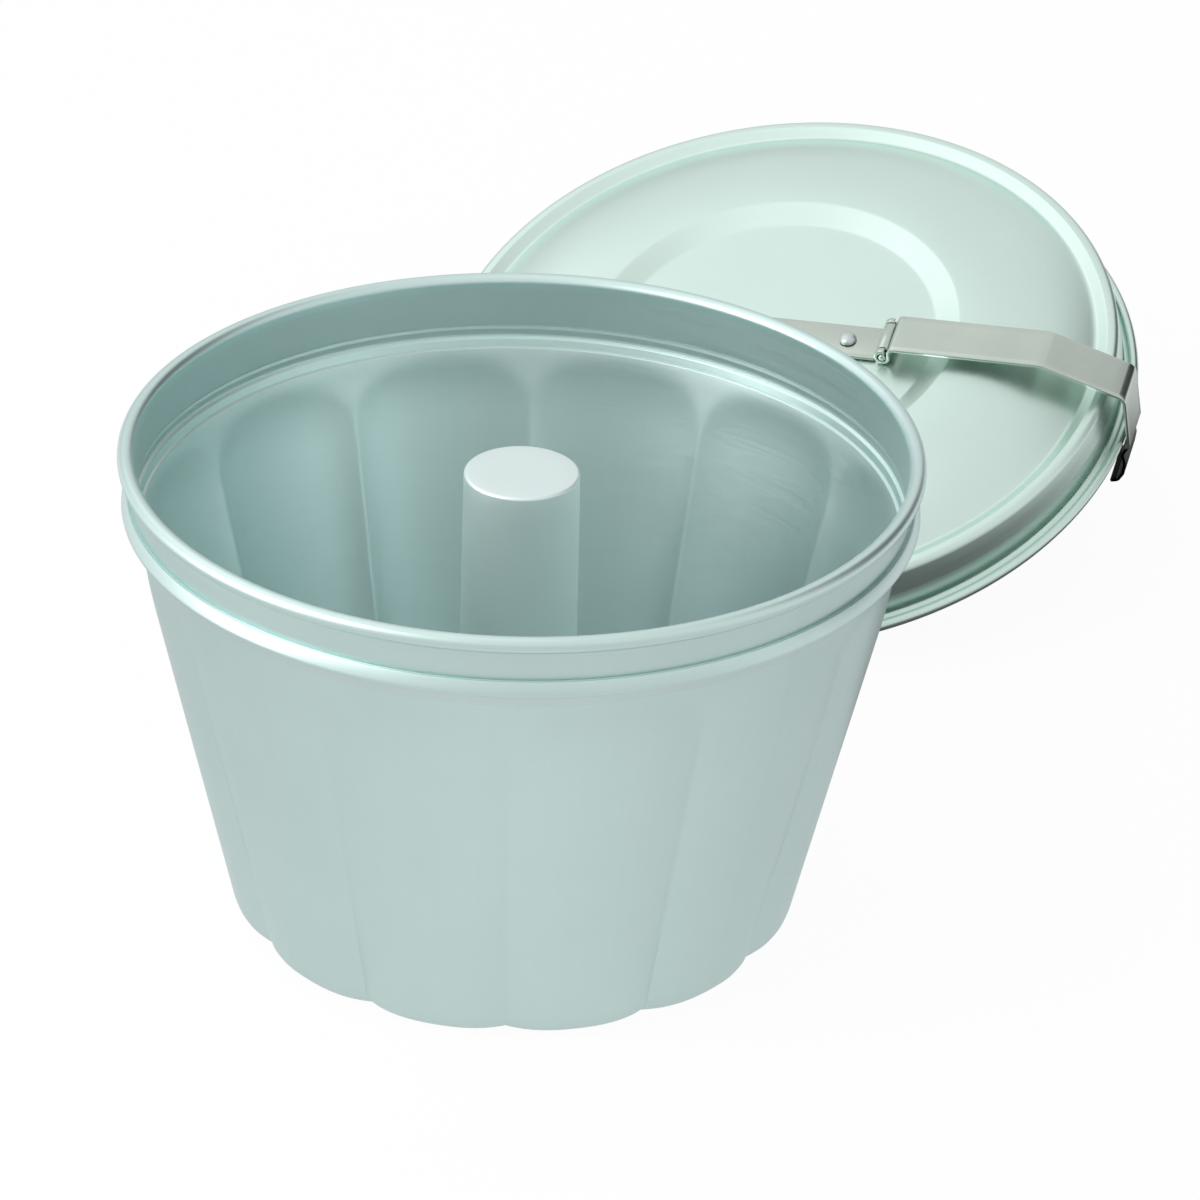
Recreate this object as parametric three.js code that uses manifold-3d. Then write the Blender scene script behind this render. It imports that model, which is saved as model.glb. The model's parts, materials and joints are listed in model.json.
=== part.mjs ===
// Water-bath pudding mould: a fluted aluminium cup with a hollow chimney, and its domed lid,
// taken off and tilted behind the cup, with two hinged spring clips on a riveted bracket.
// Millimetres, +Z up. The origin is on the cup's axis, on the surface that it stands on.
import * as THREE from "three";
import { mergeVertices } from "three/addons/utils/BufferGeometryUtils.js";
import Module from "manifold-3d";

const wasm = await Module();
wasm.setup();

const { degToRad, radToDeg, lerp, clamp } = THREE.MathUtils;

// Gap that separate pieces keep from each other
const CLEARANCE = 0.3;

// Cup
const RIM_RADIUS = 85;
const MOULD_HEIGHT = 109.7;
const MOULD_SHEET = 0.9;
const CURL_RADIUS = 1.75;
const BEAD_DROP = 10.5;
const BEAD_HEIGHT = 6.6;
const BEAD_PROUD = 2.1;
const LEDGE_WIDTH = 2.0;
const FOOT_RADIUS = 58.1;
const FOOT_FILLET = 7;

// Flutes: lobes pushed out of the cone, with arched tops
const LOBES = 12;
const LOBE_DEPTH_FOOT = 2.4;
const LOBE_DEPTH_TOP = 0.9;
const LOBE_ROUNDNESS = 2.2;
const ARCH_DROP = 3.6;
const ARCH_HEIGHT = 15;
const ARCH_SQUARENESS = 2.8;

// Chimney, rolled into the raised middle of the cup's floor
const CHIMNEY_TOP_RADIUS = 12.15;
const CHIMNEY_FOOT_RADIUS = 12.85;
const CHIMNEY_DROP = 6.5;
const CHIMNEY_SHEET = 0.9;
const CHIMNEY_EDGE = 1.5;
const SEAM_RAISE = 2.5;
const SEAM_MARGIN = 5;
const SEAM_SLOPE = 2.5;
const SEAM_LIP = 3.4;
const SEAM_SWAGE = 2;

// Lid, with its rolled edge at height 0 of its own frame
const LID_OVERHANG = 2.2;
const LID_SHEET = 0.8;
const LID_ROLL = 1.3;
const SKIRT_INSET = 0.4;
const SKIRT_FOOT = 2.4;
const SKIRT_FLARE = 0.9;
const RIDGE_HEIGHT = 13.6;
const RIDGE_WIDTH = 5.5;
const RIDGE_RISE = 1.6;
const DISC_RADIUS = 39.6;
const DISC_RISE = 4.4;
const RING_WIDTH = 5.6;
const RING_RISE = 1.4;

// Where the lid stands, seen from above, and how it tilts
const LID_GAP = 26;
const LID_BEARING = degToRad(72.23);
const LID_TILT = degToRad(19.6);
const LID_LEAN = degToRad(242.23);
const LID_TURN = degToRad(101.2);

// Bracket, rivets and hinge pins on the lid
const STRAP_SHEET = 0.8;
const BRACKET_WIDTH = 10.5;
const HINGE_INSET = 10.7;
const PIN_RADIUS = 0.9;
const EAR_WIDTH = 1.5;
const RIVET_INSET = 10.1;
const RIVET_RADIUS = 1.3;
const RIVET_FLANGE = 0.8;
const RIVET_DOME = 1.4;
const RIVET_TAIL = 0.9;

// Spring clips, of the same strip as the bracket
const CLIP_WIDTH = 12;
const CLIP_LIFT = 3.7;
const CLIP_BEND = 1.4;
const SHOULDER_REACH = 19.9;
const SHOULDER_DROP = 8.5;
const LEG_GAP = 0.6;
const LEG_FOOT = 1.2;
const NOTCH_DEPTH = 1.8;
const NOTCH_DROP = 3;
const HOOK_LENGTH = 9.4;
const HOOK_REACH = 3.6;

// Fineness of the facets
const LOBE_SEGMENTS = 6;
const LID_SEGMENTS = 60;
const TUBE_SEGMENTS = 32;
const SMALL_SEGMENTS = 16;

// Sizes of the cup that follow from the ones above
const collarInside = RIM_RADIUS - 2 * CURL_RADIUS;
const collarOutside = collarInside + MOULD_SHEET;
const beadFoot = MOULD_HEIGHT - BEAD_DROP - BEAD_HEIGHT;
const wallTop = collarOutside - LEDGE_WIDTH;
const wallSlope = (wallTop - FOOT_RADIUS) / beadFoot;
const wallLean = Math.atan(1 / wallSlope);
const floorEdge = FOOT_RADIUS - FOOT_FILLET * Math.tan(wallLean / 2);
const archTop = beadFoot - ARCH_DROP;
const archSpring = archTop - ARCH_HEIGHT;
const cupSegments = LOBE_SEGMENTS * LOBES;
const seamHole = CHIMNEY_FOOT_RADIUS + CLEARANCE;
const lipEdge = seamHole + SEAM_LIP;
const seamEdge = lipEdge + SEAM_MARGIN;

// Sizes of the lid, the bracket and the clips that follow
const lidEdge = RIM_RADIUS + LID_OVERHANG;
const rollCentre = lidEdge - LID_ROLL;
const skirtFootRadius = rollCentre - LID_ROLL - SKIRT_INSET;
const ridgeOutside = skirtFootRadius - SKIRT_FLARE;
const discHeight = RIDGE_HEIGHT + DISC_RISE;
const bracketFoot = discHeight + CLEARANCE;
const bracketTop = bracketFoot + STRAP_SHEET;
const hingeReach = DISC_RADIUS - HINGE_INSET;
const rivetReach = hingeReach - RIVET_INSET;
const rivetHole = RIVET_RADIUS + CLEARANCE;
const eyeBend = PIN_RADIUS + CLEARANCE + STRAP_SHEET / 2;
const eyeRadius = eyeBend + STRAP_SHEET / 2;
const hingeHeight = bracketFoot + eyeRadius;
const barrelRoom = CLIP_WIDTH - 2 * EAR_WIDTH;
const barrelWidth = barrelRoom - 2 * CLEARANCE;

const ALUMINIUM = { color: 0xc3d2cf, roughness: 0.38, metalness: 0.9 };
const LID_ALUMINIUM = { color: 0xd2dfda, roughness: 0.36, metalness: 0.9 };
const STEEL = { color: 0xbdbfb4, roughness: 0.33, metalness: 0.95 };
const RIVET_STEEL = { color: 0x9fb0b0, roughness: 0.35, metalness: 0.95 };

const V = (x, y) => new THREE.Vector2(x, y);

// Points along a circular arc, ends included
function arc(cx, cy, radius, fromDegrees, toDegrees, steps) {
  const points = [];
  for (let i = 0; i <= steps; i++) {
    const angle = degToRad(lerp(fromDegrees, toDegrees, i / steps));
    points.push(V(cx + radius * Math.cos(angle), cy + radius * Math.sin(angle)));
  }
  return points;
}

// The path moved sideways: to its left for a positive distance, with mitred corners
function offset(path, distance) {
  return path.map((point, i) => {
    const before = point.clone().sub(path[Math.max(i - 1, 0)]).normalize();
    const after = path[Math.min(i + 1, path.length - 1)].clone().sub(point).normalize();
    const along = before.clone().add(after).normalize();
    const reach = distance / Math.max(along.dot(i === 0 ? after : before), 0.5);
    return V(point.x - along.y * reach, point.y + along.x * reach);
  });
}

// A closed outline of sheet metal bent along a centre line
function sheetOutline(path, thickness) {
  return [...offset(path, -thickness / 2), ...offset(path, thickness / 2).reverse()];
}

// A body turned about the Z axis from a profile that runs anticlockwise, radius against height
function turned(profile, segments) {
  return new THREE.LatheGeometry(profile, segments).rotateX(Math.PI / 2);
}

// A plate with its outline in the XZ plane, and its thickness centred on the Y axis
function plate(outline, width) {
  const solid = new THREE.ExtrudeGeometry(new THREE.Shape(outline), { depth: width, bevelEnabled: false });
  return solid.translate(0, 0, -width / 2).rotateX(Math.PI / 2);
}

// An upright drill, twice as long as the sheet that it goes through
function drill(radius, sheet, x, z) {
  const rod = new THREE.CylinderGeometry(radius, radius, 2 * sheet, SMALL_SEGMENTS);
  return rod.rotateX(Math.PI / 2).translate(x, 0, z);
}

function toSolid(geometry) {
  const bare = geometry.clone();
  bare.deleteAttribute("normal");
  bare.deleteAttribute("uv");
  const merged = mergeVertices(bare, 1e-4);
  const mesh = new wasm.Mesh({
    numProp: 3,
    vertProperties: new Float32Array(merged.attributes.position.array),
    triVerts: new Uint32Array(merged.index.array),
  });
  mesh.merge();
  return new wasm.Manifold(mesh);
}

function toGeometry(solid) {
  const { vertProperties, triVerts } = solid.getMesh();
  const geometry = new THREE.BufferGeometry();
  geometry.setAttribute("position", new THREE.BufferAttribute(vertProperties, 3));
  geometry.setIndex(new THREE.BufferAttribute(triVerts, 1));
  return geometry;
}

function join(first, second) {
  return toGeometry(toSolid(first).add(toSolid(second)));
}

function cut(geometry, ...tools) {
  return toGeometry(tools.reduce((rest, tool) => rest.subtract(toSolid(tool)), toSolid(geometry)));
}

function piece(name, geometry, finish) {
  const mesh = new THREE.Mesh(geometry, new THREE.MeshStandardMaterial(finish));
  mesh.name = name;
  return mesh;
}

// How far a lobe stands out of the cone, at a turn about the axis and a height
function lobePush(turn, height) {
  const pitch = (2 * Math.PI) / LOBES;
  const across = Math.abs(2 * (turn / pitch - Math.floor(turn / pitch)) - 1);
  const climb = clamp((height - archSpring) / ARCH_HEIGHT, 0, 1);
  const outward = (across ** ARCH_SQUARENESS + climb ** ARCH_SQUARENESS) ** (1 / ARCH_SQUARENESS);
  const depth = lerp(LOBE_DEPTH_FOOT, LOBE_DEPTH_TOP, Math.max(height, 0) / archTop);
  return depth * (1 - Math.min(outward, 1) ** LOBE_ROUNDNESS);
}

// The cup's outside, from the hole for the chimney to the top of the bead
function cupOutside() {
  const onWall = (height) => V(FOOT_RADIUS + wallSlope * height, height);
  const fillet = arc(floorEdge, FOOT_FILLET, FOOT_FILLET, -90, radToDeg(wallLean) - 90, 4);
  const filletTop = fillet[fillet.length - 1].y;
  const wall = [0.25, 0.6, 1].map((share) => onWall(lerp(filletTop, archSpring, share)));
  const arch = [0.35, 0.6, 0.82, 1].map((share) => onWall(archSpring + ARCH_HEIGHT * share));
  const swell = BEAD_PROUD + LEDGE_WIDTH / 2;
  const bead = [];
  for (let i = 0; i <= 6; i++) {
    const share = i / 6;
    const radius = wallTop + LEDGE_WIDTH * share + swell * Math.sin(Math.PI * share);
    bead.push(V(radius, beadFoot + BEAD_HEIGHT * share));
  }
  const floor = [V(seamHole, SEAM_RAISE), V(seamEdge, SEAM_RAISE), V(seamEdge + SEAM_SLOPE, 0)];
  return [...floor, ...fillet, ...wall, ...arch, ...bead];
}

// The cup: its sheet follows the outside and ends in a rim curl, and the lobes push it out
function cupBody() {
  const outside = cupOutside();
  const inside = offset(outside, MOULD_SHEET).reverse();
  const curlRadius = RIM_RADIUS - CURL_RADIUS;
  const meet = radToDeg(Math.acos((curlRadius - collarOutside) / CURL_RADIUS));
  const curl = arc(curlRadius, MOULD_HEIGHT - CURL_RADIUS, CURL_RADIUS, meet - 180, 180, 8);
  const profile = [...outside, ...curl, ...inside, outside[0]];
  const body = new THREE.LatheGeometry(profile, cupSegments);
  const place = body.attributes.position;
  for (let i = 0; i < place.count; i++) {
    const turn = (2 * Math.PI * (Math.floor(i / profile.length) % cupSegments)) / cupSegments;
    const { x: radius, y: height } = profile[i % profile.length];
    if (height > archTop || radius < floorEdge - MOULD_SHEET) continue;
    const pushed = radius + lobePush(turn, height);
    place.setXYZ(i, pushed * Math.sin(turn), height, pushed * Math.cos(turn));
  }
  return body.rotateX(Math.PI / 2);
}

// A tube closed at the top, swaged above the cup's floor and rolled out below it
function chimneyBody() {
  const top = MOULD_HEIGHT - CHIMNEY_DROP;
  const seat = SEAM_RAISE + MOULD_SHEET + CLEARANCE;
  const swageTop = seat + SEAM_SWAGE;
  const lipTop = SEAM_RAISE - CLEARANCE;
  const lipFoot = lipTop - CHIMNEY_SHEET;
  const inside = [
    V(0, top - CHIMNEY_SHEET),
    V(CHIMNEY_TOP_RADIUS - CHIMNEY_EDGE, top - CHIMNEY_SHEET),
    V(CHIMNEY_TOP_RADIUS - CHIMNEY_SHEET, top - CHIMNEY_EDGE),
    V(CHIMNEY_FOOT_RADIUS - CHIMNEY_SHEET, swageTop),
    V(CHIMNEY_FOOT_RADIUS - CHIMNEY_SHEET, lipFoot),
  ];
  const outside = [
    V(lipEdge, lipFoot),
    V(lipEdge, lipTop),
    V(CHIMNEY_FOOT_RADIUS, lipTop),
    V(CHIMNEY_FOOT_RADIUS, seat),
    V(seamHole + SEAM_SWAGE, seat),
    V(seamHole + SEAM_SWAGE, (seat + swageTop) / 2),
    V(CHIMNEY_FOOT_RADIUS, swageTop),
    ...arc(CHIMNEY_TOP_RADIUS - CHIMNEY_EDGE, top - CHIMNEY_EDGE, CHIMNEY_EDGE, 0, 90, 4),
    V(0, top),
  ];
  return turned([...inside, ...outside], TUBE_SEGMENTS);
}

// The lid's upper face, from its axis to the foot of the skirt
function lidTop() {
  const ridgeInside = ridgeOutside - RIDGE_WIDTH;
  const ridgeFoot = RIDGE_HEIGHT - RIDGE_RISE;
  const domeTop = discHeight + RING_RISE;
  const dome = [];
  for (let i = 0; i <= 6; i++) {
    const radius = lerp(DISC_RADIUS + RING_WIDTH, ridgeInside, i / 6);
    dome.push(V(radius, lerp(domeTop, ridgeFoot, (i / 6) ** 2)));
  }
  const ridge = [];
  for (let i = 1; i <= 4; i++) {
    const rise = RIDGE_RISE * Math.sin((Math.PI * i) / 4);
    ridge.push(V(ridgeInside + (RIDGE_WIDTH * i) / 4, ridgeFoot + rise));
  }
  return [V(0, discHeight), V(DISC_RADIUS, discHeight), ...dome, ...ridge, V(skirtFootRadius, SKIRT_FOOT)];
}

function lidBody() {
  const top = lidTop();
  const underside = offset(top, -LID_SHEET);
  const roll = arc(rollCentre, 0, LID_ROLL, -165, 135, 9);
  const pan = turned([...underside, ...roll, ...top.reverse()], LID_SEGMENTS);
  const middle = discHeight - LID_SHEET / 2;
  const holes = [-rivetReach, rivetReach].map((x) => drill(rivetHole, LID_SHEET, x, middle));
  return cut(pan, ...holes);
}

// A strap over the lid's middle, with each end rolled up into a hinge barrel
function bracketBody() {
  const middle = bracketFoot + STRAP_SHEET / 2;
  const right = arc(hingeReach, hingeHeight, eyeBend, -90, 195, 12);
  const left = right.map((point) => V(-point.x, point.y)).reverse();
  const barrels = plate(sheetOutline([...left, ...right], STRAP_SHEET), barrelWidth);
  const length = 2 * (hingeReach - eyeRadius - CLEARANCE);
  const strap = new THREE.BoxGeometry(length, BRACKET_WIDTH, STRAP_SHEET).translate(0, 0, middle);
  const holes = [-rivetReach, rivetReach].map((x) => drill(rivetHole, STRAP_SHEET, x, middle));
  return cut(join(barrels, strap), ...holes);
}

// A domed rivet through the bracket and the lid, with its formed tail below
function rivetBody() {
  const tailTop = discHeight - LID_SHEET - CLEARANCE;
  const headFoot = bracketTop + CLEARANCE;
  const headRadius = RIVET_RADIUS + RIVET_FLANGE;
  const shank = [
    V(0, tailTop - RIVET_TAIL),
    V(headRadius, tailTop - RIVET_TAIL),
    V(headRadius, tailTop),
    V(RIVET_RADIUS, tailTop),
    V(RIVET_RADIUS, headFoot),
  ];
  const dome = arc(0, 0, 1, 0, 90, 5).map(({ x, y }) => V(x * headRadius, headFoot + y * RIVET_DOME));
  dome[dome.length - 1].x = 0;
  return turned([...shank, ...dome], SMALL_SEGMENTS).translate(rivetReach, 0, 0);
}

function pinBody() {
  const half = CLIP_WIDTH / 2 + CLEARANCE;
  const profile = [
    V(0, -half),
    V(PIN_RADIUS - CLEARANCE, -half),
    V(PIN_RADIUS, CLEARANCE - half),
    V(PIN_RADIUS, half - CLEARANCE),
    V(PIN_RADIUS - CLEARANCE, half),
    V(0, half),
  ];
  return turned(profile, SMALL_SEGMENTS).rotateX(Math.PI / 2).translate(hingeReach, 0, hingeHeight);
}

// A spring strap: an eye on the hinge pin, a flat run, a shoulder, a leg and a hook under the bead
function clipBody() {
  const level = hingeHeight + CLIP_LIFT;
  const tab = hingeReach + eyeBend;
  const leg = lidEdge + LEG_GAP + STRAP_SHEET / 2;
  const fall = Math.atan2(SHOULDER_DROP, SHOULDER_REACH);
  const bendDrop = CLIP_BEND * Math.tan((Math.PI / 2 - fall) / 2);
  const bendHeight = level - SHOULDER_DROP - bendDrop;
  const hookTop = V(leg - NOTCH_DEPTH, -LEG_FOOT - NOTCH_DROP);
  const onHook = (inward, down) => V(hookTop.x - inward * HOOK_REACH, hookTop.y - down * HOOK_LENGTH);
  const path = [
    ...arc(hingeReach, hingeHeight, eyeBend, 70, 360, 12),
    ...arc(tab + CLIP_BEND, level - CLIP_BEND, CLIP_BEND, 180, 90, 4),
    V(leg - SHOULDER_REACH, level),
    ...arc(leg - CLIP_BEND, bendHeight, CLIP_BEND, 90 - radToDeg(fall), 0, 4),
    V(leg, -LEG_FOOT),
    hookTop,
    onHook(-0.1, 0.35),
    onHook(0.1, 0.65),
    onHook(0.45, 0.87),
    onHook(1, 1),
  ];
  const strap = plate(sheetOutline(path, STRAP_SHEET), CLIP_WIDTH);
  const roomRadius = (eyeRadius + CLEARANCE) / Math.cos(Math.PI / SMALL_SEGMENTS);
  const room = new THREE.CylinderGeometry(roomRadius, roomRadius, barrelRoom, SMALL_SEGMENTS);
  return cut(strap, room.translate(hingeReach, 0, hingeHeight));
}

// The lid with its fittings, turned and tilted so that its rolled edge stands on the table
function lidAssembly() {
  const turn = new THREE.Group();
  turn.rotation.z = LID_TURN;
  turn.add(piece("lid_pan", lidBody(), LID_ALUMINIUM));
  turn.add(piece("clip_bracket", bracketBody(), STEEL));
  for (const [side, angle] of [["right", 0], ["left", Math.PI]]) {
    const fittings = new THREE.Group();
    fittings.rotation.z = angle;
    fittings.add(piece(`bracket_rivet_${side}`, rivetBody(), RIVET_STEEL));
    fittings.add(piece(`hinge_pin_${side}`, pinBody(), STEEL));
    fittings.add(piece(`clip_arm_${side}`, clipBody(), STEEL));
    turn.add(fittings);
  }
  const tilt = new THREE.Group();
  tilt.rotation.y = LID_TILT;
  tilt.add(turn);
  const stand = new THREE.Group();
  stand.rotation.z = LID_LEAN;
  const distance = RIM_RADIUS + lidEdge + LID_GAP;
  const height = rollCentre * Math.sin(LID_TILT) + LID_ROLL;
  stand.position.set(distance * Math.cos(LID_BEARING), distance * Math.sin(LID_BEARING), height);
  stand.add(tilt);
  return stand;
}

const mould = new THREE.Group();
mould.add(piece("mould_body", cupBody(), ALUMINIUM));
mould.add(piece("chimney", chimneyBody(), ALUMINIUM));
mould.add(lidAssembly());

export default mould;
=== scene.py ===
"""A water-bath pudding mould: a fluted cup with a hollow chimney, and its domed lid with two spring clips.

The script models each piece over its packed solid, gives it its metal and sets a plain studio around it.
"""
import json
import math

import bmesh
import bpy
from bpy.props import FloatProperty, FloatVectorProperty, IntProperty, PointerProperty
from bpy.types import Operator, Panel, PropertyGroup
from mathutils import Matrix, Vector


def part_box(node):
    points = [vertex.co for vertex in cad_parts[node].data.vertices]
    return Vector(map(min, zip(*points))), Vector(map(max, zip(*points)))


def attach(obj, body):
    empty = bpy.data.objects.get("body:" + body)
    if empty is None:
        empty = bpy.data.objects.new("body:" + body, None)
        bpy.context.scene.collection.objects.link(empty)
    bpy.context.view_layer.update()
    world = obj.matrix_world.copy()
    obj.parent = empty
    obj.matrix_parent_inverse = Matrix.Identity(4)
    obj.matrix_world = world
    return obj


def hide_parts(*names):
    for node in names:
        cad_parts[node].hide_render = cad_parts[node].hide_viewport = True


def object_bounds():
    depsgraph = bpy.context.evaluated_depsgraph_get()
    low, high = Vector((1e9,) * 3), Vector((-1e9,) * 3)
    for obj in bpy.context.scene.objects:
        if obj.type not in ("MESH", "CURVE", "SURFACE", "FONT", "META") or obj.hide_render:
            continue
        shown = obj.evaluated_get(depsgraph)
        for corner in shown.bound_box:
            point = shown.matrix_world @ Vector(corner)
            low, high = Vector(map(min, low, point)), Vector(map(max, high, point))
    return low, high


bl_info = {
    "name": "Pudding Mould",
    "version": (1, 0, 0),
    "blender": (4, 5, 0),
    "location": "View3D > Sidebar > Mould",
    "description": "Models a fluted pudding mould, its lid and its spring clips, with a studio around them",
    "category": "Add Mesh",
}

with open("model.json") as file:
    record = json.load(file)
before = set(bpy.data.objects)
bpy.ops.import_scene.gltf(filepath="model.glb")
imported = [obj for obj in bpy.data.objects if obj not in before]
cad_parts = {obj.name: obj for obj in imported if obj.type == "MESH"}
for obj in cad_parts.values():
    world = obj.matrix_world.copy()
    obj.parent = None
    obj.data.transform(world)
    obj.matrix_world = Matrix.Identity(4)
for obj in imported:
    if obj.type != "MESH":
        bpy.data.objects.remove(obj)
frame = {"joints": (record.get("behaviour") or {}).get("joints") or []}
cad_lowest, cad_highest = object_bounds()

MM = 0.001

# Fineness of the meshes: columns around, steps along arcs, longest rows, and angles of sharp edges
CUP_COLUMNS = 288
LID_COLUMNS = 240
TUBE_COLUMNS = 96
SMALL_COLUMNS = 48
DOME_ROWS = 24
CORNER_STEPS = 6
TAIL_STEPS = 3
BEND_STEPS = 10
HEAD_STEPS = 12
CURL_STEPS = 16
ROLL_STEPS = 24
RIM_STEPS = 30
BARREL_STEPS = 32
EYE_STEPS = 36
CUP_ROW = 2.4 * MM
LID_ROW = 3 * MM
CLIP_ROW = 3 * MM
TUBE_ROW = 4 * MM
CREASE_GATHER = 0.6
MERGE_DISTANCE = MM / 1000
SMOOTH_ANGLE = math.radians(35)
BEVEL_ANGLE = math.radians(50)

# Turns of the rolled strip around a hinge pin, and of a rivet's dome from its edge
BARREL_TURN = (math.radians(-90), math.radians(195))
EYE_TURN = (math.radians(70), math.radians(360))
HEAD_TURN = (0, math.radians(85))

# How far down the bead its edge lies, and the round at the ridge's inner foot, as shares
BEAD_EDGE = 0.6
RIDGE_FOOT = 0.7

# Corners behind the bead, outward and down, and of the lip below, outward and up, in depths of the recess
RECESS_CORNERS = ((0, 0), (0.7, 0.9), (0.4, 2.4), (0.6, 5), (0.1, 7.4))
LIP_CORNER = (-0.5, 0.9)

# Corners of a clip's hook, inward and down, as shares of its reach and its length
HOOK_CORNERS = ((-0.1, 0.35), (0.1, 0.7), (0.5, 0.95), (1, 1))

# Detail of the metals: weights in the colour and the relief, spread of the roughness, depth of the relief
USUAL_NOISE = (0.3, 0.7)
CLOUD_WEIGHT = 0.7
STREAK_WEIGHT = 0.3
LINE_RELIEF = 0.5
SPECK_RELIEF = 0.35
SATIN_SPREAD = 0.04
SATIN_DEPTH = 0.004 * MM
STRIP_SPREAD = 0.03
STRIP_DEPTH = 0.0012 * MM
RIVET_SPREAD = 0.05
RIVET_DEPTH = 0.01 * MM
RIVET_GRAIN = {"Cloud": 400, "Speck": 3000}

# Parts of the studio: how far a direction points each way where the part starts and where it is full
DARK_CORNER = {"right": (0.36, 0.62), "up": (-0.05, 0.15), "back": (0, 0.3)}
FRONT_STRIP = {"front": (0.3, 0.7), "down": (-0.2, -0.06)}
BACK_STRIP = {"back": (0.5, 0.85), "down": (-0.45, -0.1)}
BRIGHT_LEFT = {"left": (0.2, 0.7)}
DIMMING = 0.5

# Lamps, as places from the object's middle in metres
LAMP_PLACES = {
    "softbox": (-0.6, 0.45, 0.95),
    "overhead": (-0.15, -0.1, 1.3),
    "key": (-0.95, -0.6, 0.75),
    "side": (-1.1, -0.35, 0.33),
}

# The floor's side and its gap under the object, and where the lid's painted shade and the painted dim floor
# end, in radii
FLOOR_SIZE = 8
FLOOR_GAP = 0.1 * MM
SHADE_END = 1.25
POOL_END = 2

# Width of the camera's sensor in millimetres
SENSOR_WIDTH = 36


# Sizes that come from the packed solids

def node_size(node):
    """The extents of a packed node along X, Y and Z."""
    lowest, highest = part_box(node)
    return highest - lowest


def node_top(node):
    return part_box(node)[1].z


JOINTS = {joint["name"]: joint for joint in frame["joints"]}


def hinge_point(side):
    return Vector(JOINTS[f"clip_{side}_hinge"]["pos_m"])


HINGE_REACH = (hinge_point("right") - hinge_point("left")).length / 2


def lid_place(clips):
    """The lid's own frame: X towards the right clip, Z out of the lid, 0 at its rolled edge."""
    along = (hinge_point("right") - hinge_point("left")).normalized()
    across = -Vector(JOINTS["clip_right_hinge"]["axis"]).normalized()
    up = along.cross(across)
    middle = (hinge_point("right") + hinge_point("left")) / 2 - up * hinge_height(clips)
    turn = Matrix((along, across, up)).transposed().to_4x4()
    return Matrix.Translation(middle) @ turn


# Properties

def length(name, description, metres):
    return FloatProperty(
        name=name, description=description, default=metres, min=0, unit="LENGTH", precision=5)


def shift(name, description, metres):
    return FloatProperty(name=name, description=description, default=metres, unit="LENGTH")


def number(name, description, value):
    return FloatProperty(name=name, description=description, default=value)


def angle(name, description, degrees):
    return FloatProperty(name=name, description=description, default=math.radians(degrees), subtype="ANGLE")


def share(name, description, value):
    return FloatProperty(
        name=name, description=description, default=value, min=0, max=1, subtype="FACTOR")


def power(name, description, watts):
    return FloatProperty(name=name, description=description, default=watts, min=0, unit="POWER")


def colour(name, description, red, green, blue):
    default = (red, green, blue)
    return FloatVectorProperty(
        name=name, description=description, default=default, min=0, max=1, size=3, subtype="COLOR")


class CupSizes(PropertyGroup):
    """Sizes of the fluted cup"""
    rim_radius: length("Rim radius", "Outer radius of the rolled rim", node_size("mould_body").x / 2)
    height: length("Height", "From the table to the top of the rim", node_top("mould_body"))
    sheet: length("Sheet", "Thickness of the aluminium", 0.9 * MM)
    curl_radius: length("Curl radius", "Outer radius of the rim's roll", 1.75 * MM)
    curl_end: angle("Curl end", "Where the roll's raw edge ends, from the horizontal", -112)
    bead_drop: length("Bead drop", "From the top of the rim to the groove above the bead", 10.3 * MM)
    bead_height: length("Bead height", "From the groove down to the bead's foot on the wall", 4.7 * MM)
    bead_proud: length("Bead proud", "How far the bead stands out of the collar", 2.1 * MM)
    bead_shoulder: length("Bead shoulder", "How far the bead's top stands out of the collar", 0.75 * MM)
    ledge_width: length("Ledge width", "How far the wall's top lies inside the collar", 1.5 * MM)
    step_drop: length("Step drop", "From the bead's foot to the fine step below it", 2.3 * MM)
    step_depth: length("Step depth", "Depth of the fine step below the bead", 0.14 * MM)
    recess_drop: length("Recess drop", "From the groove outside to the collar's edge inside", 1.4 * MM)
    recess_depth: length("Recess depth", "Depth of the waves behind the bead", 0.5 * MM)
    lip_rise: length("Lip rise", "From the fine step outside up to the inner wall's lip", 0.45 * MM)
    foot_radius: length("Foot radius", "Radius of the wall's cone at the table", 58.1 * MM)
    foot_fillet: length("Foot fillet", "Radius between the wall and the floor", 7 * MM)
    lobes: IntProperty(name="Lobes", description="Number of flutes around the wall", default=12, min=3)
    lobe_depth_foot: length("Lobe depth at the foot", "How far a lobe stands out at the table", 2.4 * MM)
    lobe_depth_top: length("Lobe depth at the top", "How far a lobe stands out at its arch", 1.2 * MM)
    lobe_roundness: number("Lobe roundness", "Power of a lobe's cross-section", 2.8)
    arch_drop: length("Arch drop", "From the bead's foot to the arches", 3.4 * MM)
    arch_height: length("Arch height", "Height of a lobe's rounded top", 16 * MM)
    arch_squareness: number("Arch squareness", "Power of an arch's outline", 2.8)
    seam_raise: length("Seam raise", "How far the floor's middle is raised", 2.5 * MM)
    seam_edge: length("Seam edge", "Radius of the raised middle", 21.55 * MM)
    seam_slope: length("Seam slope", "Width of the slope around the raised middle", 2.5 * MM)
    seam_hole: length("Seam hole", "Radius of the hole for the chimney", 13.15 * MM)


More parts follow.
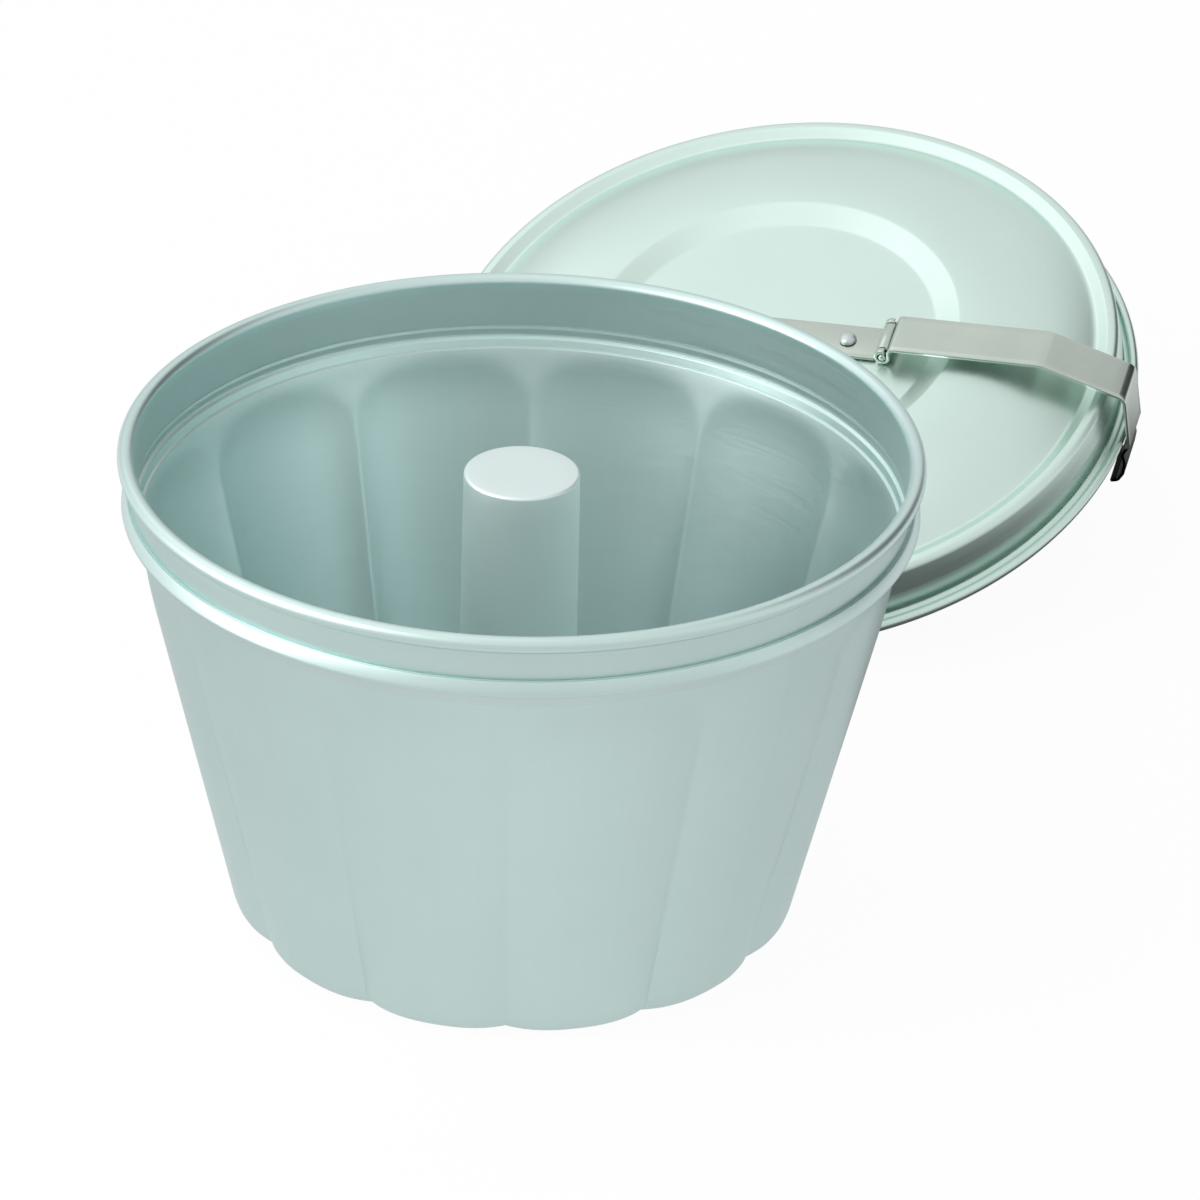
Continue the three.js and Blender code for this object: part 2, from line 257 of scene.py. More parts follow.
class ChimneySizes(PropertyGroup):
    """Sizes of the hollow chimney"""
    top_radius: length("Top radius", "Outer radius at the top", 12.3 * MM)
    foot_radius: length("Foot radius", "Outer radius at the floor", 12.85 * MM)
    top: length("Top", "Height of the closed top above the table", node_top("chimney"))
    sheet: length("Sheet", "Thickness of the aluminium", 0.9 * MM)
    edge: length("Edge", "Radius around the closed top", 0.7 * MM)
    lip: length("Lip", "Outer radius of the lip under the floor", node_size("chimney").x / 2)
    lip_top: length("Lip top", "Height of the lip's upper face", 2.2 * MM)
    seat: length("Seat", "Height of the swage's lower face", 3.7 * MM)
    swage_radius: length("Swage radius", "Outer radius of the swage above the floor", 15.15 * MM)
    swage_height: length("Swage height", "Height of the swage", 2 * MM)


class LidSizes(PropertyGroup):
    """Sizes of the domed lid, from its rolled edge up"""
    edge_radius: length("Edge radius", "Outer radius of the rolled edge", 87.2 * MM)
    sheet: length("Sheet", "Thickness of the aluminium", 0.8 * MM)
    roll_radius: length("Roll radius", "Outer radius of the edge's roll", 1.3 * MM)
    roll_end: angle("Roll end", "Where the roll's raw edge ends, from the horizontal", 128)
    skirt_foot_radius: length("Skirt foot radius", "Radius of the skirt above the roll", 84.2 * MM)
    skirt_foot: length("Skirt foot", "Height of the skirt's foot", 0.7 * MM)
    neck_height: length("Neck height", "Where the skirt starts to draw in above the roll", 6.5 * MM)
    neck_depth: length("Neck depth", "How far the skirt's foot is drawn in", 0.7 * MM)
    ridge_radius: length("Ridge radius", "Outer radius of the ridge", 83.3 * MM)
    ridge_height: length("Ridge height", "Height of the ridge", 13.6 * MM)
    ridge_width: length("Ridge width", "Width of the ridge", 5.5 * MM)
    ridge_rise: length("Ridge rise", "How far the ridge stands above its inner foot", 1.6 * MM)
    ridge_slope: length("Ridge slope", "Width of the ridge's inner slope", 2.8 * MM)
    ridge_round: length("Ridge round", "Radius of the ridge's shoulders", 1.7 * MM)
    dome_power: number("Dome power", "Power of the dome's fall towards the ridge", 2.3)
    disc_radius: length("Disc radius", "Radius of the flat middle", 39.6 * MM)
    disc_height: length("Disc height", "Height of the flat middle", 18 * MM)
    ring_width: length("Ring width", "Width of the slope around the flat middle", 5.6 * MM)
    ring_rise: length("Ring rise", "Height of the slope around the flat middle", 2.3 * MM)
    ring_round: length("Ring round", "Radius at the slope's edges", 2.5 * MM)


class ClipSizes(PropertyGroup):
    """Sizes of the bracket, its rivets and pins, and the spring clips, in the lid's own frame"""
    sheet: length("Sheet", "Thickness of the steel strip", 0.8 * MM)
    clearance: length("Clearance", "Gap between separate pieces", 0.3 * MM)
    bracket_width: length("Bracket width", "Width of the riveted bracket", 10.5 * MM)
    bracket_foot: length("Bracket foot", "Height of the bracket's lower face", 18.3 * MM)
    hinge_reach: length("Hinge reach", "From the lid's axis to the hinge", HINGE_REACH)
    eye_bend: length("Eye bend", "Radius of the barrel's middle line", 1.6 * MM)
    pin_radius: length("Pin radius", "Radius of the hinge pin", 0.9 * MM)
    ear_width: length("Ear width", "Width of each clip ear on the pin", 1.5 * MM)
    rivet_reach: length("Rivet reach", "From the lid's axis to a rivet", 18.8 * MM)
    rivet_radius: length("Rivet radius", "Radius of the rivet's shank", 1.3 * MM)
    rivet_head: length("Rivet head", "Radius of the rivet's head", 2.1 * MM)
    rivet_dome: length("Rivet dome", "Height of the rivet's head", 1.4 * MM)
    rivet_tail: length("Rivet tail", "Height of the rivet's tail under the lid", 0.9 * MM)
    clip_width: length("Clip width", "Width of a clip's strap", 12 * MM)
    clip_lift: length("Clip lift", "From the hinge up to the strap's middle", 2.6 * MM)
    clip_bend: length("Clip bend", "Radius of the strap's sharp bends", 1.4 * MM)
    leg_bend: length("Leg bend", "Radius where the falling stretch turns down into the leg", 2.6 * MM)
    knee_bend: length("Knee bend", "Radius where the strap starts to fall", 5 * MM)
    shoulder_reach: length("Shoulder reach", "Length of the falling stretch, seen from above", 19.9 * MM)
    shoulder_drop: length("Shoulder drop", "How far the falling stretch falls", 8.5 * MM)
    leg_gap: length("Leg gap", "From the lid's edge to the leg", 0.6 * MM)
    leg_foot: length("Leg foot", "How far the leg reaches below the lid's edge", 1.2 * MM)
    notch_depth: length("Notch depth", "How far the strap steps in above the hook", 1.8 * MM)
    notch_drop: length("Notch drop", "Height of the step above the hook", 3 * MM)
    hook_length: length("Hook length", "Height of the hook", 9.4 * MM)
    hook_reach: length("Hook reach", "How far the hook turns in", 3.6 * MM)
    edge_round: length("Edge round", "Radius of the strip's edges", 0.14 * MM)


class MetalFinishes(PropertyGroup):
    """Colours and gloss of the metals"""
    cup_pale: colour("Cup pale", "Aluminium of the cup, where it is palest", 0.655, 0.815, 0.795)
    cup_deep: colour("Cup deep", "Aluminium of the cup, where it is deepest", 0.63, 0.785, 0.765)
    cup_gloss: share("Cup roughness", "Roughness of the cup's satin", 0.4)
    # The inside's colours are a slightly darker copy of the cup's aluminium: painted shade inside the cup.
    # Its higher roughness is its own.
    inside_pale: colour("Inside pale", "Aluminium inside the cup, where it is palest", 0.665, 0.79, 0.78)
    inside_deep: colour("Inside deep", "Aluminium inside the cup, where it is deepest", 0.645, 0.765, 0.755)
    inside_gloss: share("Inside roughness", "Roughness of the matt inside", 0.45)
    # The chimney's colours are a paler copy of the cup's aluminium: painted light that makes up for the
    # light the chimney loses deep in the cup
    tube_pale: colour("Tube pale", "Aluminium of the chimney, where it is palest", 0.83, 0.935, 0.925)
    tube_deep: colour("Tube deep", "Aluminium of the chimney, where it is deepest", 0.805, 0.905, 0.895)
    tube_gloss: share("Tube roughness", "Roughness of the chimney's satin", 0.55)
    lid_pale: colour("Lid pale", "Aluminium of the lid, where it is palest", 0.70, 0.86, 0.80)
    lid_deep: colour("Lid deep", "Aluminium of the lid, where it is deepest", 0.675, 0.835, 0.775)
    lid_gloss: share("Lid roughness", "Roughness of the lid's satin", 0.36)
    steel_pale: colour("Steel pale", "Spring steel, where it is palest", 0.60, 0.67, 0.61)
    steel_deep: colour("Steel deep", "Spring steel, where it is deepest", 0.52, 0.59, 0.535)
    steel_gloss: share("Steel roughness", "Roughness of the rolled strip", 0.22)
    # The colour that the clips' hooks are given below a height
    hook_black: colour("Dip", "Black finish of the clips' hooks", 0.012, 0.014, 0.014)
    rivet_pale: colour("Rivet pale", "Rivet steel, where it is palest", 0.27, 0.32, 0.31)
    rivet_deep: colour("Rivet deep", "Rivet steel, where it is deepest", 0.21, 0.25, 0.24)
    rivet_gloss: share("Rivet roughness", "Roughness of the rivets", 0.3)


class StudioSettings(PropertyGroup):
    """Camera, lamps and floor"""
    lens: number("Lens", "Focal length in millimetres, on a frame 36 mm wide", 172.18)
    elevation: angle("Elevation", "How far the camera looks down", 28.75)
    roll: angle("Roll", "How far the camera is turned about its line of sight", 1.71)
    distance: length("Distance", "From the camera to the height of the rim on the cup's axis", 1205.62 * MM)
    slide_right: shift("Slide right", "Camera's shift to its right", 16.256 * MM)
    slide_up: shift("Slide up", "Camera's shift upwards", -32.668 * MM)
    floor_colour: colour("Floor", "Colour of the floor", 0.93, 0.93, 0.93)
    floor_glow: share("Floor glow", "Share of plain white in what the camera sees of the floor", 0.95)
    floor_mirror: share("Floor mirror", "Share of the studio's light in the mirrored floor", 0.85)
    # The pool of light and the lid's shade are painted on the floor where metal shows it, and the shade
    # stays when the lid is lifted
    pool_distance: length("Pool distance", "From the cup's axis to the brightest spot of the floor", 0.12)
    pool_radius: length("Pool radius", "How far the bright spot reaches", 0.3)
    pool_middle: share("Pool middle", "Brightness of the floor at the bright spot", 0.82)
    pool_edge: share("Pool edge", "Brightness of the floor outside the bright spot", 0.55)
    lid_shade: share("Lid shade", "Brightness of the floor under the lid", 0.05)
    lid_shade_radius: length("Lid shade radius", "How far the lid's shadow reaches from its middle", 0.12)
    sky: share("Sky", "Brightness of the studio around the object", 0.85)
    bright_side: share("Bright side", "Brightness of the studio on the left and of the far floor", 0.95)
    dark_side: share("Dark side", "Brightness of the studio's corner behind on the right", 0.05)
    softbox_power: power("Softbox", "Power of the large lamp above and behind", 0.8)
    softbox_width: length("Softbox width", "Side of the large lamp", 0.8)
    overhead_power: power("Overhead", "Power of the small lamp straight above", 0.25)
    overhead_width: length("Overhead width", "Side of the small lamp straight above", 0.5)
    key_power: power("Key lamp", "Power of the lamp in front on the left", 3.5)
    key_width: length("Key lamp width", "Side of the lamp in front on the left", 0.5)
    side_power: power("Side lamp", "Power of the low lamp on the left", 2.4)
    side_width: length("Side lamp width", "Side of the low lamp on the left", 0.4)


# Outlines, as radius or reach against height

def arc(middle, radius, start, end, steps):
    """Points along a circular arc, ends included."""
    turns = [start + (end - start) * i / steps for i in range(steps + 1)]
    return [middle + radius * Vector((math.cos(turn), math.sin(turn))) for turn in turns]


def rounded(corners, steps=CORNER_STEPS):
    """Points along straight stretches, with a round of the given radius at each inner corner."""
    points = [Vector(corners[0][:2])]
    for before, here, after in zip(corners, corners[1:], corners[2:]):
        corner = Vector(here[:2])
        back = (Vector(before[:2]) - corner).normalized()
        ahead = (Vector(after[:2]) - corner).normalized()
        half = back.angle(ahead) / 2
        middle = corner + (back + ahead).normalized() * here[2] / math.sin(half)
        spoke = corner + back * here[2] / math.tan(half) - middle
        turn = math.copysign(math.pi - 2 * half, back.y * ahead.x - back.x * ahead.y)
        points += [middle + Matrix.Rotation(turn * i / steps, 2) @ spoke for i in range(steps + 1)]
    return points + [Vector(corners[-1][:2])]


def spaced(points, longest):
    """The same path, with points added where a stretch is longer than the given step."""
    path = [points[0]]
    for start, end in zip(points, points[1:]):
        parts = max(1, math.ceil((end - start).length / longest))
        path += [start.lerp(end, i / parts) for i in range(1, parts + 1)]
    return path


# Modelling steps that more than one piece uses

def start_piece(name, add_primitive):
    """Adds a primitive with nothing else selected, and opens it for editing."""
    bpy.ops.object.select_all(action="DESELECT")
    add_primitive()
    piece = bpy.context.active_object
    piece.name = name
    piece.data.name = name
    bpy.ops.object.mode_set(mode="EDIT")
    bpy.ops.mesh.select_all(action="SELECT")
    return piece


def turned(name, path, columns, closed_start=False, closed_end=False, ring=False):
    """A surface turned about Z: a circle that is extruded and resized from point to point of a path.

    The path's ends are left open, closed with a point on the axis, or joined to each other as a ring.
    """
    if ring:
        path = [*path, path[0]]
    fill = "TRIFAN" if closed_start else "NOTHING"
    piece = start_piece(name, lambda: bpy.ops.mesh.primitive_circle_add(
        vertices=columns, radius=path[0].x, fill_type=fill))
    bpy.ops.mesh.select_mode(type="EDGE")
    bpy.ops.transform.translate(value=(0, 0, path[0].y))
    if closed_start:
        bpy.ops.mesh.region_to_loop()
    for here, there in zip(path, path[1:]):
        bpy.ops.mesh.extrude_edges_move(TRANSFORM_OT_translate={"value": (0, 0, there.y - here.y)})
        widen = there.x / here.x
        bpy.ops.transform.resize(value=(widen, widen, 1), center_override=(0, 0, 0))
    if closed_end:
        bpy.ops.mesh.merge(type="CENTER")
    if ring:
        bpy.ops.mesh.select_all(action="SELECT")
        bpy.ops.mesh.remove_doubles(threshold=MERGE_DISTANCE)
    return piece


def bent_strip(name, path, rows):
    """A strip along a path in the XZ plane: a point drawn out along it, then the line across its width."""
    piece = start_piece(name, lambda: bpy.ops.mesh.primitive_plane_add(size=MM))
    bpy.ops.mesh.select_mode(type="VERT")
    bpy.ops.mesh.select_all(action="SELECT")
    bpy.ops.mesh.merge(type="CENTER")
    bpy.ops.transform.translate(value=(path[0].x, rows[0], path[0].y))
    for here, there in zip(path, path[1:]):
        step = (there.x - here.x, 0, there.y - here.y)
        bpy.ops.mesh.extrude_vertices_move(TRANSFORM_OT_translate={"value": step})
    bpy.ops.mesh.select_mode(type="EDGE")
    bpy.ops.mesh.select_all(action="SELECT")
    for near, far in zip(rows, rows[1:]):
        bpy.ops.mesh.extrude_edges_move(TRANSFORM_OT_translate={"value": (0, far - near, 0)})
    return piece


def delete_faces(piece, unwanted):
    """Deletes the faces whose middle point the test picks out."""
    bpy.ops.mesh.select_mode(type="FACE")
    bpy.ops.mesh.select_all(action="DESELECT")
    mesh = bmesh.from_edit_mesh(piece.data)
    for face in mesh.faces:
        face.select_set(unwanted(face.calc_center_median()))
    bmesh.update_edit_mesh(piece.data)
    bpy.ops.mesh.delete(type="FACE")


def close_edit(piece, outward=None):
    """Turns all faces one way and leaves edit mode. On an open sheet the test says which way is outward."""
    bpy.ops.mesh.select_all(action="SELECT")
    bpy.ops.mesh.normals_make_consistent(inside=False)
    bpy.ops.object.mode_set(mode="OBJECT")
    if outward:
        faces = piece.data.polygons
        facing = sum(face.normal.dot(outward(face.center)) * face.area for face in faces)
        if facing < 0:
            piece.data.flip_normals()


def apply_modifier(piece, kind, **settings):
    modifier = piece.modifiers.new(kind.lower(), kind)
    for setting, value in settings.items():
        setattr(modifier, setting, value)
    bpy.context.view_layer.objects.active = piece
    bpy.ops.object.modifier_apply(modifier=modifier.name)


def thicken(piece, sheet, offset=-1):
    apply_modifier(piece, "SOLIDIFY", thickness=sheet, offset=offset, use_even_offset=True)


def soften_edges(piece, radius, segments=2):
    apply_modifier(piece, "BEVEL", width=radius, segments=segments, limit_method="ANGLE",
                   angle_limit=BEVEL_ANGLE, use_clamp_overlap=True)


def pick(piece):
    """Selects one piece alone and makes it active."""
    bpy.ops.object.select_all(action="DESELECT")
    piece.select_set(True)
    bpy.context.view_layer.objects.active = piece


def place(piece, matrix):
    """Moves a piece's mesh, so that its object stays at the origin."""
    pick(piece)
    piece.matrix_world = matrix
    bpy.ops.object.transform_apply(location=True, rotation=True, scale=True)


def copy_of(piece, name):
    twin = piece.copy()
    twin.data = piece.data.copy()
    twin.name = name
    twin.data.name = name
    bpy.context.collection.objects.link(twin)
    return twin


def each_side(piece, name):
    """A piece for the right and its copy for the left, with the turn that brings each to its side."""
    left = copy_of(piece, f"{name}_left")
    return [("right", piece, Matrix.Identity(4)), ("left", left, Matrix.Rotation(math.pi, 4, "Z"))]


def give_finishes(piece, *names):
    piece.data.materials.clear()
    for name in names:
        piece.data.materials.append(finish_named(name))


def fit(piece, body, nodes):
    """Shades a finished piece and ties it to its packed body and solids."""
    if not piece.data.polygons:
        raise RuntimeError(f"{piece.name} has no faces")
    pick(piece)
    bpy.ops.object.shade_smooth_by_angle(angle=SMOOTH_ANGLE)
    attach(piece, body)
    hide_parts(*nodes)


# Metals

def add_node(tree, kind, **settings):
    node = tree.nodes.new(kind)
    for setting, value in settings.items():
        setattr(node, setting, value)
    return node


def math_node(tree, operation, first, second):
    """A Math node on two sockets or numbers."""
    node = add_node(tree, "ShaderNodeMath", operation=operation)
    for socket, value in zip(node.inputs, (first, second)):
        connect(tree, value, socket)
    return node.outputs["Value"]


def vector_node(tree, operation, first, second=None):
    """A Vector Math node on one or two sockets or vectors."""
    node = add_node(tree, "ShaderNodeVectorMath", operation=operation)
    connect(tree, first, node.inputs[0])
    if second is not None:
        connect(tree, second, node.inputs[1])
    return node.outputs["Value" if operation in ("LENGTH", "DISTANCE") else "Vector"]


def scaled(tree, vector, amount):
    node = add_node(tree, "ShaderNodeVectorMath", operation="SCALE")
    connect(tree, vector, node.inputs[0])
    connect(tree, amount, node.inputs["Scale"])
    return node.outputs["Vector"]


def split_axes(tree, vector):
    """The X, Y and Z outputs for a vector."""
    node = add_node(tree, "ShaderNodeSeparateXYZ")
    connect(tree, vector, node.inputs["Vector"])
    return node.outputs


def connect(tree, value, socket):
    """Links a socket to an input, or sets the input to a plain value."""
    if isinstance(value, bpy.types.NodeSocket):
        tree.links.new(value, socket)
    else:
        socket.default_value = value


def noise(tree, vector, scale, detail, roughness=0.5):
    node = add_node(tree, "ShaderNodeTexNoise")
    connect(tree, vector, node.inputs["Vector"])
    connect(tree, scale, node.inputs["Scale"])
    node.inputs["Detail"].default_value = detail
    node.inputs["Roughness"].default_value = roughness
    return node.outputs["Fac"]


def new_group(name, inputs, outputs):
    """A shader node group with a vector input, named number inputs and named value outputs."""
    tree = bpy.data.node_groups.new(name, "ShaderNodeTree")
    tree.interface.new_socket(name="Vector", in_out="INPUT", socket_type="NodeSocketVector")
    for title, value in inputs.items():
        socket = tree.interface.new_socket(name=title, in_out="INPUT", socket_type="NodeSocketFloat")
        socket.default_value = value
    for title in outputs:
        tree.interface.new_socket(name=title, in_out="OUTPUT", socket_type="NodeSocketFloat")
    return tree, tree.nodes.new("NodeGroupInput").outputs, tree.nodes.new("NodeGroupOutput").inputs


def turning_group():
    """Fine lines that run around the Z axis, as a lathe or a spinning press leaves them."""
    tree, given, result = new_group("turning_lines", {"Pitch": 1500, "Wander": 3}, ["Lines"])
    flat = vector_node(tree, "MULTIPLY", given["Vector"], (1, 1, 0))
    radius = vector_node(tree, "LENGTH", flat)
    height = split_axes(tree, given["Vector"])["Z"]
    section = add_node(tree, "ShaderNodeCombineXYZ")
    connect(tree, math_node(tree, "MULTIPLY", radius, given["Pitch"]), section.inputs["X"])
    connect(tree, math_node(tree, "MULTIPLY", height, given["Pitch"]), section.inputs["Y"])
    drift = scaled(tree, vector_node(tree, "NORMALIZE", flat), given["Wander"])
    spot = vector_node(tree, "ADD", section.outputs["Vector"], drift)
    connect(tree, noise(tree, spot, scale=1, detail=2, roughness=0.6), result["Lines"])
    return tree


def drawing_group():
    """Faint streaks that run up the wall of a deep-drawn shell."""
    tree, given, result = new_group("drawing_streaks", {"Across": 70, "Along": 25}, ["Streaks"])
    flat = vector_node(tree, "MULTIPLY", given["Vector"], (1, 1, 0))
    around = scaled(tree, vector_node(tree, "NORMALIZE", flat), given["Across"])
    climb = scaled(tree, vector_node(tree, "MULTIPLY", given["Vector"], (0, 0, 1)), given["Along"])
    spot = vector_node(tree, "ADD", around, climb)
    connect(tree, noise(tree, spot, scale=1, detail=3, roughness=0.55), result["Streaks"])
    return tree


def satin_group():
    """Soft clouds and fine specks of a satin metal."""
    tree, given, result = new_group("satin_mottle", {"Cloud": 45, "Speck": 1400}, ["Clouds", "Specks"])
    connect(tree, noise(tree, given["Vector"], given["Cloud"], detail=4), result["Clouds"])
    connect(tree, noise(tree, given["Vector"], given["Speck"], detail=2, roughness=0.6), result["Specks"])
    return tree


def rolling_group():
    """Straight fine lines along X, as on cold-rolled strip."""
    tree, given, result = new_group("rolling_lines", {"Across": 5000, "Along": 60}, ["Lines"])
    along = scaled(tree, vector_node(tree, "MULTIPLY", given["Vector"], (1, 0, 0)), given["Along"])
    across = scaled(tree, vector_node(tree, "MULTIPLY", given["Vector"], (0, 1, 0)), given["Across"])
    spot = vector_node(tree, "ADD", along, across)
    connect(tree, noise(tree, spot, scale=1, detail=2, roughness=0.6), result["Lines"])
    return tree


GROUP_MAKERS = {
    "turning_lines": turning_group,
    "drawing_streaks": drawing_group,
    "satin_mottle": satin_group,
    "rolling_lines": rolling_group,
}


def use_group(tree, name, vector, **inputs):
    """Places a shared node group, made the first time that it is asked for."""
    node = add_node(tree, "ShaderNodeGroup")
    node.node_tree = bpy.data.node_groups.get(name) or GROUP_MAKERS[name]()
    connect(tree, vector, node.inputs["Vector"])
    for title, value in inputs.items():
        node.inputs[title].default_value = value
    return node.outputs


def map_range(tree, value, span, result, curve="LINEAR"):
    """A value mapped from a span to a result's two ends, and held there outside the span."""
    node = add_node(tree, "ShaderNodeMapRange", interpolation_type=curve)
    connect(tree, value, node.inputs["Value"])
    for title, amount in zip(("From Min", "From Max", "To Min", "To Max"), (*span, *result)):
        node.inputs[title].default_value = amount
    return node.outputs["Result"]


def remap(tree, value, low, high):
    """A noise's usual middle range, stretched between two values."""
    return map_range(tree, value, USUAL_NOISE, (low, high))


def smooth_step(tree, value, low, high):
    """0 below one value, 1 above another and a soft step between them."""
    return map_range(tree, value, (low, high), (0, 1), "SMOOTHSTEP")


def piece_coordinates(tree, where):
    """Object coordinates, brought into the piece's own frame."""
    coordinates = add_node(tree, "ShaderNodeTexCoord").outputs["Object"]
    if where is None:
        return coordinates
    mapping = add_node(tree, "ShaderNodeMapping", vector_type="TEXTURE")
    connect(tree, coordinates, mapping.inputs["Vector"])
    mapping.inputs["Location"].default_value = where.to_translation()
    mapping.inputs["Rotation"].default_value = where.to_euler()
    return mapping.outputs["Vector"]


def metal_base(name, pale):
    """A new metal, with its node tree and its shader."""
    material = bpy.data.materials.new(name)
    material.use_nodes = True
    material.diffuse_color = (*pale, 1)
    tree = material.node_tree
    shader = tree.nodes["Principled BSDF"]
    shader.inputs["Metallic"].default_value = 1
    return material, tree, shader


def blend(tree, kind, amount, first, second):
    """A Mix node of a kind, from a first to a second socket or value."""
    node = add_node(tree, "ShaderNodeMix", data_type=kind)
    connect(tree, amount, node.inputs["Factor"])
    sockets = [socket for socket in node.inputs if socket.enabled and socket.name in ("A", "B")]
    connect(tree, first, sockets[0])
    connect(tree, second, sockets[1])
    return next(socket for socket in node.outputs if socket.enabled)


def finish_metal(tree, shader, base, roughness, relief, depth):
    """Feeds a metal's colour, roughness and relief from values that vary over the surface."""
    connect(tree, base, shader.inputs["Base Color"])
    connect(tree, roughness, shader.inputs["Roughness"])
    bump = add_node(tree, "ShaderNodeBump")
    bump.inputs["Distance"].default_value = depth
    connect(tree, relief, bump.inputs["Height"])
    connect(tree, bump.outputs["Normal"], shader.inputs["Normal"])


def above(tree, spot, height):
    """A mask that rises from 0 to 1 over a millimetre above a height."""
    return smooth_step(tree, split_axes(tree, spot)["Z"], height, height + MM)


def satin_aluminium(name, pale, deep, gloss, where=None, rim=None):
    """Satin aluminium, drawn and spun, and where asked with another colour and gloss above a height."""
    material, tree, shader = metal_base(name, pale)
    spot = piece_coordinates(tree, where)
    mottle = use_group(tree, "satin_mottle", spot)
    lines = use_group(tree, "turning_lines", spot)["Lines"]
    streaks = use_group(tree, "drawing_streaks", spot)["Streaks"]
    worn = math_node(tree, "ADD", math_node(tree, "MULTIPLY", mottle["Clouds"], CLOUD_WEIGHT),
                     math_node(tree, "MULTIPLY", streaks, STREAK_WEIGHT))
    base = blend(tree, "RGBA", remap(tree, worn, 0, 1), (*deep, 1), (*pale, 1))
    roughness = remap(tree, lines, gloss - SATIN_SPREAD, gloss + SATIN_SPREAD)
    if rim:
        height, rim_colour, rim_gloss = rim
        rolled = above(tree, spot, height)
        base = blend(tree, "RGBA", rolled, base, (*rim_colour, 1))
        roughness = blend(tree, "FLOAT", rolled, roughness, rim_gloss)
    relief = math_node(tree, "ADD", math_node(tree, "MULTIPLY", lines, LINE_RELIEF),
                       math_node(tree, "MULTIPLY", mottle["Specks"], SPECK_RELIEF))
    finish_metal(tree, shader, base, roughness, relief, SATIN_DEPTH)
    return material


def rolled_steel(name, pale, deep, gloss, where, hook=None):
    """Bright cold-rolled strip with fine lines along it, and where asked coloured black below a height."""
    material, tree, shader = metal_base(name, pale)
    spot = piece_coordinates(tree, where)
    mottle = use_group(tree, "satin_mottle", spot)
    lines = use_group(tree, "rolling_lines", spot)["Lines"]
    base = blend(tree, "RGBA", remap(tree, mottle["Clouds"], 0, 1), (*deep, 1), (*pale, 1))
    roughness = remap(tree, lines, gloss - STRIP_SPREAD, gloss + STRIP_SPREAD)
    if hook:
        height, hook_colour = hook
        base = blend(tree, "RGBA", above(tree, spot, height), (*hook_colour, 1), base)
    finish_metal(tree, shader, base, roughness, lines, STRIP_DEPTH)
    return material


def plain_steel(name, pale, deep, gloss, where):
    """Tumbled rivet steel."""
    material, tree, shader = metal_base(name, pale)
    spot = piece_coordinates(tree, where)
    mottle = use_group(tree, "satin_mottle", spot, **RIVET_GRAIN)
    base = blend(tree, "RGBA", remap(tree, mottle["Clouds"], 0, 1), (*deep, 1), (*pale, 1))
    roughness = remap(tree, mottle["Specks"], gloss - RIVET_SPREAD, gloss + RIVET_SPREAD)
    finish_metal(tree, shader, base, roughness, mottle["Specks"], RIVET_DEPTH)
    return material


def finish_named(name):
    """One of the object's metals, made the first time that it is asked for."""
    made = bpy.data.materials.get(name)
    if made:
        return made
    scene = bpy.context.scene
    metals = scene.mould_metals
    where = lid_place(scene.mould_clips)

    def metal(kind):
        return [getattr(metals, f"{kind}_{quality}") for quality in ("pale", "deep", "gloss")]

    if name == "cup_satin":
        return satin_aluminium(name, *metal("cup"))
    # The inside of the cup: a slightly darker copy of the cup's aluminium, painted shade, with a rougher
    # satin; the rolled rim above a height keeps the outside's colour and gloss
    if name == "cup_matt":
        cup = scene.mould_cup
        rim = (cup.height - 2 * cup.curl_radius, metals.cup_pale, metals.cup_gloss)
        return satin_aluminium(name, *metal("inside"), rim=rim)
    # The chimney: a paler copy of the cup's aluminium, painted light
    if name == "tube_satin":
        return satin_aluminium(name, *metal("tube"))
    if name == "lid_satin":
        return satin_aluminium(name, *metal("lid"), where)
    if name == "strip_steel":
        return rolled_steel(name, *metal("steel"), where)
    # The clips: rolled strip, coloured black below a height on the hooks
    if name == "dipped_steel":
        hook = (-2 * scene.mould_clips.leg_foot, metals.hook_black)
        return rolled_steel(name, *metal("steel"), where, hook)
    return plain_steel(name, *metal("rivet"), where)


# Outlines of the pieces

def collar_radius(cup):
    """The outer radius of the collar between the rim's roll and the bead."""
    return cup.rim_radius - 2 * cup.curl_radius + cup.sheet


def bead_foot(cup):
    """The height of the bead's foot on the wall."""
    return cup.height - cup.bead_drop - cup.bead_height


def wall_slope(cup):
    """How much the wall's cone widens over its height."""
    return (collar_radius(cup) - cup.ledge_width - cup.foot_radius) / bead_foot(cup)


def cone_radius(cup, height):
    return cup.foot_radius + wall_slope(cup) * height


def curl_middle(cup):
    return Vector((cup.rim_radius - cup.curl_radius, cup.height - cup.curl_radius))


def cup_outside(cup):
    """The cup's outside, from the hole for the chimney to the raw edge inside the rim's roll."""
    collar = collar_radius(cup)
    groove = cup.height - cup.bead_drop
    fine = cup.sheet / 6
    step = bead_foot(cup) - cup.step_drop
    step_radius = cone_radius(cup, step)
    corners = [
        (cup.seam_hole, cup.seam_raise),
        (cup.seam_edge, cup.seam_raise, cup.seam_slope),
        (cup.seam_edge + cup.seam_slope, 0, cup.seam_slope),
        (cup.foot_radius, 0, cup.foot_fillet),
        (step_radius, step, fine),
        (step_radius + cup.step_depth, step + cup.step_depth, fine),
        (collar - cup.ledge_width + cup.step_depth, bead_foot(cup), cup.sheet / 3),
        (collar + cup.bead_proud, groove - BEAD_EDGE * cup.bead_height, cup.sheet),
        (collar + cup.bead_shoulder, groove + 3 * fine, cup.sheet / 3),
        (collar + fine, groove - 2 * fine, fine),
        (collar, groove, fine),
        (collar, cup.height - cup.curl_radius),
    ]
    curl = arc(curl_middle(cup), cup.curl_radius - cup.sheet, math.pi, cup.curl_end, CURL_STEPS)
    return spaced(rounded(corners), CUP_ROW) + curl[1:]


